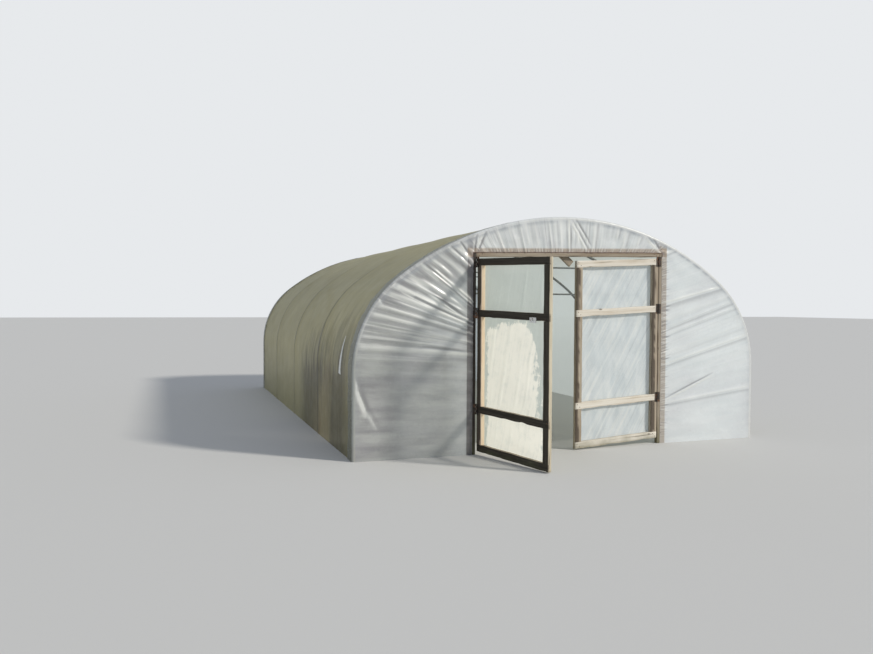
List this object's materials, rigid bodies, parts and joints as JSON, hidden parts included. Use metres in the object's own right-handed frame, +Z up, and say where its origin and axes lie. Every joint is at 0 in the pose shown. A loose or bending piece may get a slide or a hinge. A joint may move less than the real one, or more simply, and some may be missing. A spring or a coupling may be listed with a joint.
{
  "type": "polytunnel greenhouse",
  "caption": "Walk-in film-covered greenhouse on arched steel hoops, with timber-framed double doors at one end.",
  "frame": {"origin": "on the ground, at the middle of the rectangle that the tunnel and its open door cover", "axes": "+Y along the tunnel from the doors to the closed end, +X to the right seen from the doors, +Z up"},
  "size_m": [4.88, 8.4356, 2.531],
  "materials": {
    "tube": "weathered galvanised steel",
    "tape": "pale foam tape",
    "timber": "weathered softwood",
    "cover_film": "dirty translucent polythene",
    "end_film": "white translucent polythene",
    "hinge_steel": "rusty steel",
    "latch": "worn white paint"
  },
  "bodies": {
    "frame": {"front_hoop": "tube", "second_hoop": "tube", "third_hoop": "tube", "fourth_hoop": "tube", "rear_hoop": "tube", "hoop_tape": "tape", "left_ground_tubes": "tube", "right_ground_tubes": "tube", "ridge_pole": "tube", "ridge_saddles": "tube", "upper_crop_bars": "tube", "lower_crop_bar": "tube", "front_left_post": "timber", "front_right_post": "timber", "door_header": "timber", "header_brace": "timber", "rear_left_post": "timber", "rear_right_post": "timber", "rear_header": "timber", "main_cover": "cover_film", "front_film_left": "end_film", "front_film_right": "end_film", "front_film_top": "end_film", "rear_film": "end_film", "left_hinge_post_plates": "hinge_steel", "right_hinge_post_plates": "hinge_steel"},
    "left_door": {"left_door_hinge_stile": "timber", "left_door_free_stile": "timber", "left_door_top_rail": "timber", "left_door_mid_rail": "timber", "left_door_lower_rail": "timber", "left_door_bottom_rail": "timber", "left_door_film": "end_film", "left_door_hinge_plates": "hinge_steel", "left_door_latch": "latch"},
    "right_door": {"right_door_hinge_stile": "timber", "right_door_free_stile": "timber", "right_door_top_rail": "timber", "right_door_mid_rail": "timber", "right_door_lower_rail": "timber", "right_door_bottom_rail": "timber", "right_door_film": "end_film", "right_door_hinge_plates": "hinge_steel"}
  },
  "joints": [
    {"name": "left_door_hinge", "type": "hinge", "parent": "frame", "child": "left_door", "pos_m": [-1.115, -3.15205, 0], "axis": [0, 0, -1], "range_deg": [-75, 95]},
    {"name": "right_door_hinge", "type": "hinge", "parent": "frame", "child": "right_door", "pos_m": [1.115, -3.15205, 0], "axis": [0, 0, 1], "range_deg": [-5, 165]}
  ]
}
